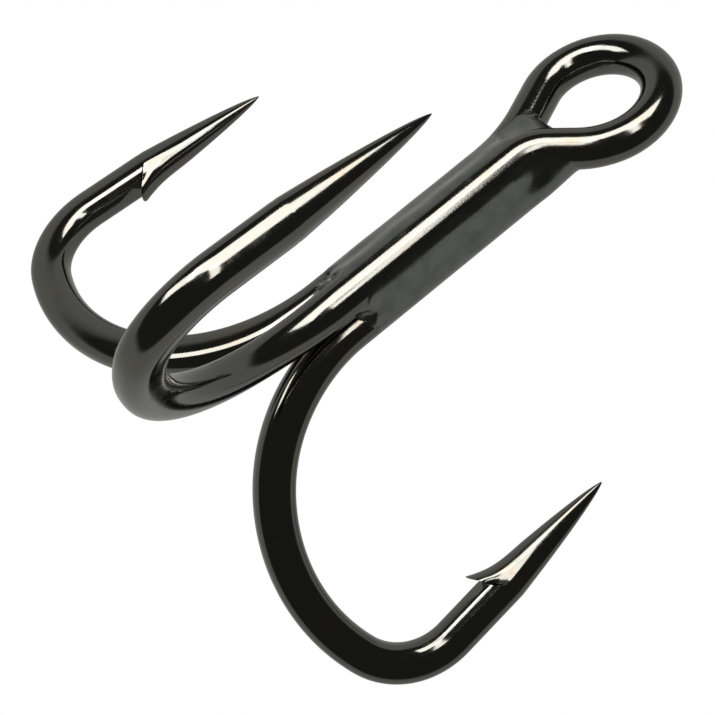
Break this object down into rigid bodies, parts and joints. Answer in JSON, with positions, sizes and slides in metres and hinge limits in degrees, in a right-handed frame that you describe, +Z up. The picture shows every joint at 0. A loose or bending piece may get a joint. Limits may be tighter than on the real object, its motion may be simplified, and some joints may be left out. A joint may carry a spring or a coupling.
{
  "type": "treble hook",
  "caption": "Treble fishing hook: barbed hooks spaced evenly round a short brazed shank, with a teardrop wire eye in line with one of the hooks.",
  "frame": {"origin": "centre of the eye's ring", "axes": "+Z up the shank towards the eye, +Y along the eye's hole, +X in the eye's plane on the side of the first hook; seen from above the others follow it anticlockwise"},
  "size_m": [0.0279, 0.0318, 0.0313],
  "materials": {
    "plated_wire": "polished black nickel on carbon steel wire",
    "plated_braze": "satin black nickel over braze"
  },
  "bodies": {
    "root": {"eyed_double_hook": "plated_wire", "single_hook": "plated_wire", "core_braze": "plated_braze", "long_wire_braze": "plated_braze", "left_groove_braze": "plated_braze", "right_groove_braze": "plated_braze", "throat_braze": "plated_braze"}
  },
  "joints": []
}
